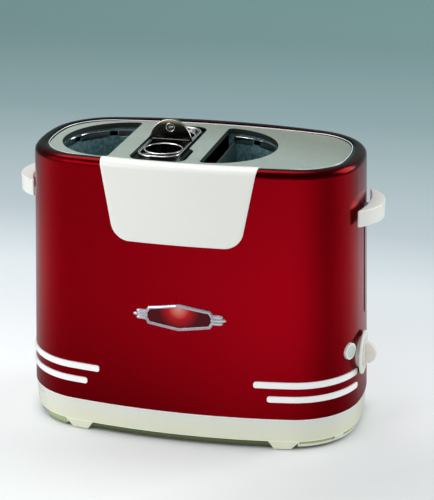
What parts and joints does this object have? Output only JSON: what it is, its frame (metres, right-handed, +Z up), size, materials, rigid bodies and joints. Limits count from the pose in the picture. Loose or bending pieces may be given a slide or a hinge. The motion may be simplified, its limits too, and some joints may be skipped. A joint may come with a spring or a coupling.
{
  "type": "pop-up hot dog toaster",
  "caption": "Countertop pop-up toaster for hot dogs: bowed body with D-shaped bun wells, lift-out sausage cage, sprung lever carriage, timer knob, stop button and crumb tray",
  "frame": {"origin": "under the middle of the body, at the height of the soles of the feet", "axes": "+X to the end with the lever, -Y to the front with the apron, +Z up"},
  "size_m": [0.294, 0.1503, 0.2416],
  "materials": {
    "red_shell": "metallic red paint under a clear coat",
    "satin_plate": "satin grey-green",
    "white_plastic": "smooth white",
    "cream_plastic": "smooth cream",
    "chrome_trim": "bright",
    "red_enamel": "clear red",
    "soft_pad": "matt dark grey",
    "plain_sheet": "zinc coated sheet",
    "reflector": "satin reflector",
    "polished_steel": "polished",
    "mica": "flaky mineral board",
    "ribbon": "resistance ribbon",
    "circuit_board": "green board",
    "dark_plastic": "black",
    "copper_coil": "wound and varnished",
    "screw_steel": "plated"
  },
  "bodies": {
    "body": {"badge_bezel": "chrome_trim", "badge_insert": "red_enamel", "base": "cream_plastic", "base_screws": "screw_steel", "board_bracket": "plain_sheet", "board_screws": "screw_steel", "bottom_plate": "plain_sheet", "cage_guard": "plain_sheet", "contact_block": "dark_plastic", "contact_leaves": "copper_coil", "control_board": "circuit_board", "foot_pads": "soft_pad", "front_apron": "white_plastic", "guide_rod": "polished_steel", "handle_screws": "screw_steel", "inlet_bush": "dark_plastic", "knob_bezel": "white_plastic", "left_back_heater": "mica", "left_back_ribbon": "ribbon", "left_end_plate": "plain_sheet", "left_front_heater": "mica", "left_front_ribbon": "ribbon", "left_handle": "white_plastic", "left_lower_trim": "white_plastic", "left_upper_trim": "white_plastic", "left_well": "reflector", "left_well_wall": "plain_sheet", "lower_frame": "plain_sheet", "magnet_coil": "copper_coil", "magnet_core": "screw_steel", "outer_shell": "red_shell", "return_spring": "screw_steel", "right_back_heater": "mica", "right_back_ribbon": "ribbon", "right_end_plate": "plain_sheet", "right_front_heater": "mica", "right_front_ribbon": "ribbon", "right_lower_trim": "white_plastic", "right_upper_trim": "white_plastic", "right_well": "reflector", "right_well_wall": "plain_sheet", "stop_switch": "dark_plastic", "timer_body": "dark_plastic", "top_plate": "satin_plate"},
    "carriage_group": {"carriage": "plain_sheet", "lifter_arm": "plain_sheet", "left_bun_lifter": "polished_steel", "right_bun_lifter": "polished_steel", "armature": "screw_steel", "lever_handle": "white_plastic"},
    "tray": {"crumb_tray": "cream_plastic"},
    "cage": {"cage_rim": "polished_steel", "cage_tubes": "polished_steel", "lift_tab": "polished_steel", "tab_eyelet": "chrome_trim"},
    "knob": {"timer_knob": "cream_plastic"},
    "button": {"stop_button": "white_plastic"}
  },
  "joints": [
    {"name": "lever_travel", "type": "slide", "parent": "body", "child": "carriage_group", "axis": [0, 0, -1], "range_m": [0, 0.08], "stiffness_N_per_m": 60, "springref_m": -0.1, "deforming": ["return_spring"]},
    {"name": "tray_slide", "type": "slide", "parent": "body", "child": "tray", "axis": [-1, 0, 0], "range_m": [0, 0.15]},
    {"name": "cage_lift", "type": "slide", "parent": "body", "child": "cage", "axis": [0, 0, 1], "range_m": [0, 0.16]},
    {"name": "knob_turn", "type": "hinge", "parent": "body", "child": "knob", "pos_m": [0.13439, -0.014, 0.0672], "axis": [1, 0, 0], "range_deg": [-135, 135]},
    {"name": "button_press", "type": "slide", "parent": "body", "child": "button", "axis": [-0.91, 0.4147, 0], "range_m": [0, 0.0018], "stiffness_N_per_m": 300, "springref_m": -0.002}
  ]
}
